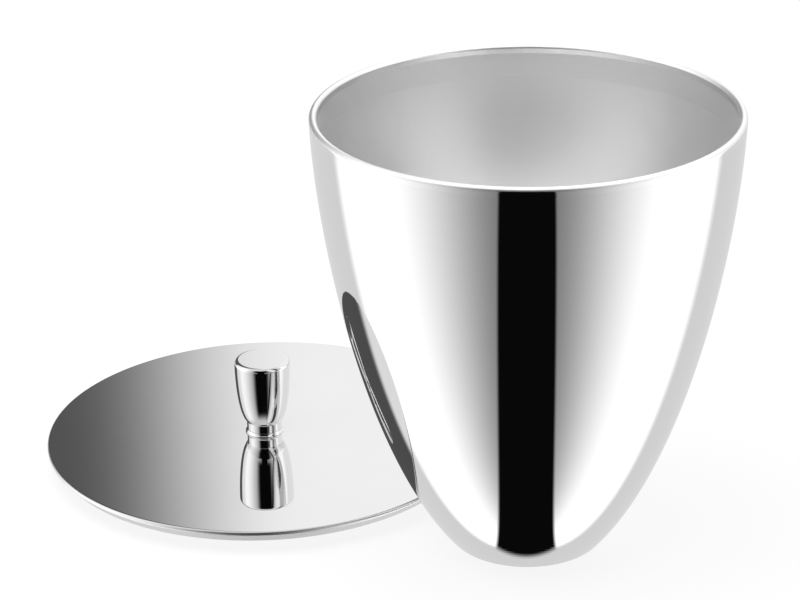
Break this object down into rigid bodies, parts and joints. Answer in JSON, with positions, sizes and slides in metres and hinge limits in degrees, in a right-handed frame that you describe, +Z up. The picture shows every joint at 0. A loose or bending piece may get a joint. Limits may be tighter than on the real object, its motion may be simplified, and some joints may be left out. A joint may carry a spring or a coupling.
{
  "type": "ice bucket",
  "caption": "Double-walled round ice bucket, tapering in a curve to a small foot, with a flat insulated lid and turned knob lying beside it.",
  "frame": {"origin": "centre of the foot pad's underside, on the table, on the bucket's axis", "axes": "+Z up along the bucket's axis; the lid lies on the table behind and to the left, towards -X and +Y"},
  "size_m": [0.287, 0.2477, 0.18],
  "materials": {
    "shell_mirror": "mirror-polished stainless steel",
    "rim_mirror": "stainless steel, mirror-polished outside and satin on top",
    "liner_satin": "satin stainless steel, fine turning marks",
    "lid_mirror": "polished stainless steel, slightly softer than the shell",
    "pan_satin": "satin stainless steel",
    "knob_mirror": "turned and mirror-polished stainless steel",
    "plain_steel": "plain steel, as cut",
    "weight_iron": "plain cast iron",
    "silicone": "translucent white silicone, matt",
    "pad_rubber": "dark rubber, matt",
    "foam": "rigid insulating foam"
  },
  "bodies": {
    "bucket": {"foot_pad": "pad_rubber", "base_cap": "plain_steel", "vent_plug": "plain_steel", "base_weight": "weight_iron", "outer_shell": "shell_mirror", "liner_spacer": "foam", "inner_liner": "liner_satin", "rim_ring": "rim_mirror"},
    "lid": {"lid_pan": "pan_satin", "seal_ring": "silicone", "lid_insulation": "foam", "lid_plate": "lid_mirror", "knob_backing": "plain_steel", "flat_washer": "plain_steel", "spring_washer": "plain_steel", "knob_screw": "plain_steel", "knob_collar": "knob_mirror", "knob": "knob_mirror"}
  },
  "joints": [
    {"name": "lid_lift", "type": "slide", "parent": "bucket", "child": "lid", "axis": [-0.4193, 0.2723, 0.866], "range_m": [0, 0.25]}
  ]
}
